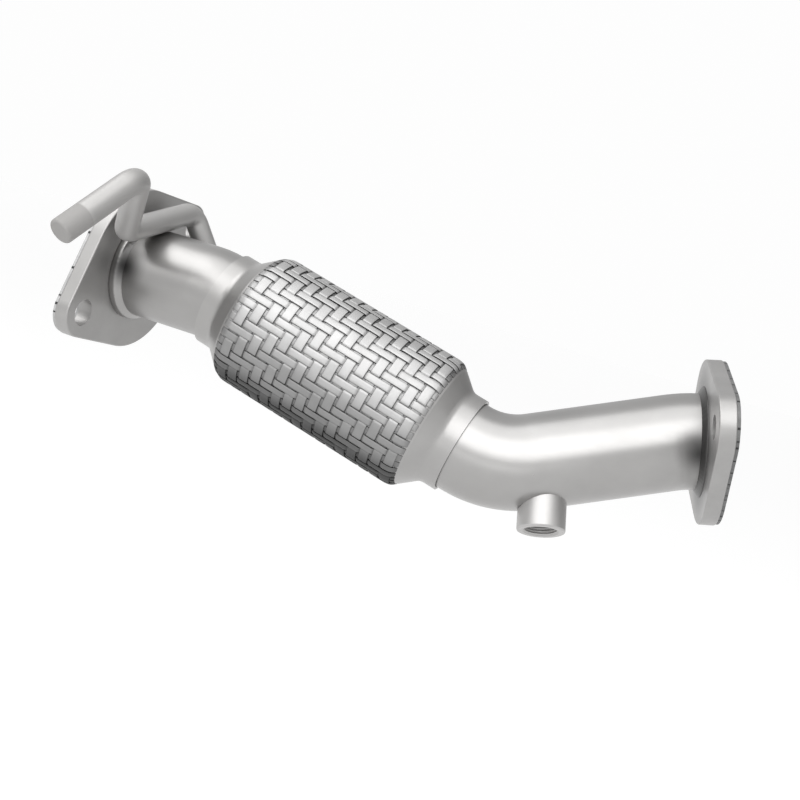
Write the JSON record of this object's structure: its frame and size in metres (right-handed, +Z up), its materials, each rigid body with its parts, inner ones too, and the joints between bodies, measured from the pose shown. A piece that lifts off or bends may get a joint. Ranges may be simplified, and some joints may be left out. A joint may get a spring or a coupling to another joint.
{
  "type": "exhaust front pipe",
  "caption": "Exhaust front pipe: a two-bolt flange, a hanger rod, a braided flex coupling, a bent outlet pipe with a sensor boss, and an outlet flange.",
  "frame": {"origin": "centre of the inlet sealing face, on the inlet pipe's axis", "axes": "+X along the inlet pipe towards the flex coupling, +Z up, +Y to the left of the gas flow"},
  "size_m": [0.352, 0.2539, 0.1247],
  "materials": {
    "pipe_steel": "satin",
    "flange_steel": "satin",
    "rod_steel": "satin",
    "braid_steel": "satin",
    "bellows_steel": "satin",
    "weld_metal": "satin",
    "inlet_gasket_facing": "matte",
    "outlet_gasket_facing": "matte"
  },
  "bodies": {
    "inlet_end": {"inlet_gasket": "inlet_gasket_facing", "inlet_flange": "flange_steel", "inlet_flange_weld": "weld_metal", "inlet_pipe": "pipe_steel", "hanger_rod": "rod_steel", "inlet_neck": "pipe_steel", "inlet_cuff_ring": "bellows_steel", "flex_bellows": "bellows_steel", "flex_liner": "bellows_steel", "flex_braid": "braid_steel"},
    "outlet_end": {"outlet_cuff_ring": "bellows_steel", "outlet_neck": "pipe_steel", "outlet_pipe": "pipe_steel", "sensor_boss": "flange_steel", "outlet_flange": "flange_steel", "outlet_flange_weld": "weld_metal", "outlet_gasket": "outlet_gasket_facing"}
  },
  "joints": [
    {"name": "flex_bend", "type": "hinge", "parent": "inlet_end", "child": "outlet_end", "pos_m": [0.13923, 0.00865, -0.02014], "axis": [-0.1063, 0.9943, 0], "range_deg": [-8, 8], "stiffness_Nm_per_rad": 150, "deforming": ["flex_bellows", "flex_liner", "flex_braid"]}
  ]
}
